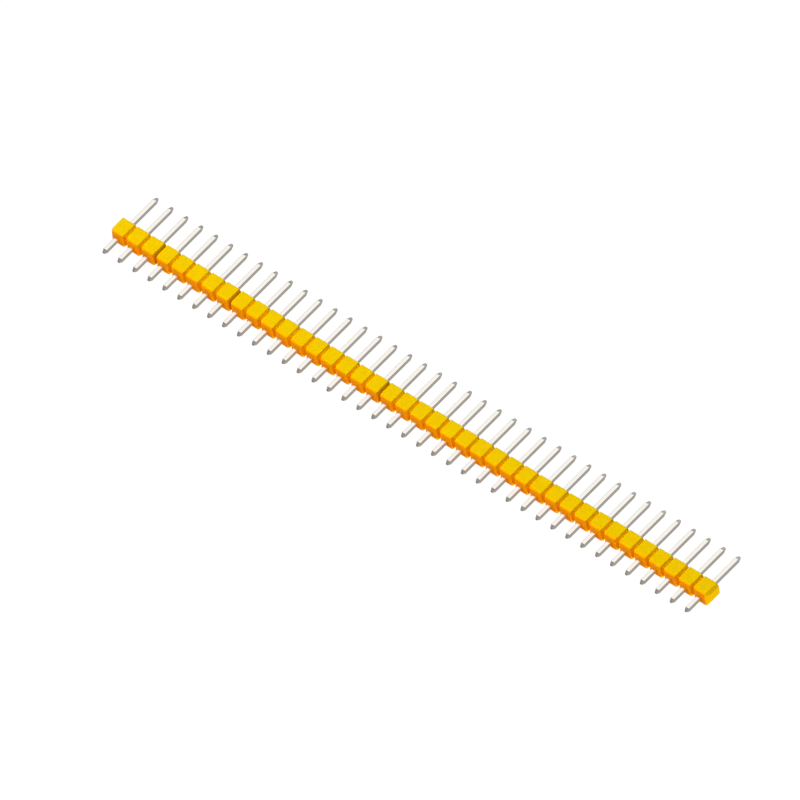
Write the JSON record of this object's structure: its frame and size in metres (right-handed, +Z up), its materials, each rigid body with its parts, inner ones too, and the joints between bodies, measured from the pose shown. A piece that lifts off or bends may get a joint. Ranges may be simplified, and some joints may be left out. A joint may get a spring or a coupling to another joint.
{
  "type": "pin header strip",
  "caption": "Straight single-row male pin header: square plated pins pressed through a snap-apart moulded insulator, to solder to a board and plug into a socket.",
  "frame": {"origin": "on the surface that the strip lies on, under the middle of its whole box", "axes": "+X along the row, +Y along the pins towards their long mating ends, +Z up; the strip lies on its side"},
  "size_m": [0.1016, 0.011, 0.0025],
  "materials": {
    "insulator": "moulded yellow thermoplastic, satin",
    "contact": "bright tin plate over brass wire"
  },
  "bodies": {
    "root": {"insulator_strip": "insulator", "contact_pin_01": "contact", "contact_pin_02": "contact", "contact_pin_03": "contact", "contact_pin_04": "contact", "contact_pin_05": "contact", "contact_pin_06": "contact", "contact_pin_07": "contact", "contact_pin_08": "contact", "contact_pin_09": "contact", "contact_pin_10": "contact", "contact_pin_11": "contact", "contact_pin_12": "contact", "contact_pin_13": "contact", "contact_pin_14": "contact", "contact_pin_15": "contact", "contact_pin_16": "contact", "contact_pin_17": "contact", "contact_pin_18": "contact", "contact_pin_19": "contact", "contact_pin_20": "contact", "contact_pin_21": "contact", "contact_pin_22": "contact", "contact_pin_23": "contact", "contact_pin_24": "contact", "contact_pin_25": "contact", "contact_pin_26": "contact", "contact_pin_27": "contact", "contact_pin_28": "contact", "contact_pin_29": "contact", "contact_pin_30": "contact", "contact_pin_31": "contact", "contact_pin_32": "contact", "contact_pin_33": "contact", "contact_pin_34": "contact", "contact_pin_35": "contact", "contact_pin_36": "contact", "contact_pin_37": "contact", "contact_pin_38": "contact", "contact_pin_39": "contact", "contact_pin_40": "contact"}
  },
  "joints": []
}
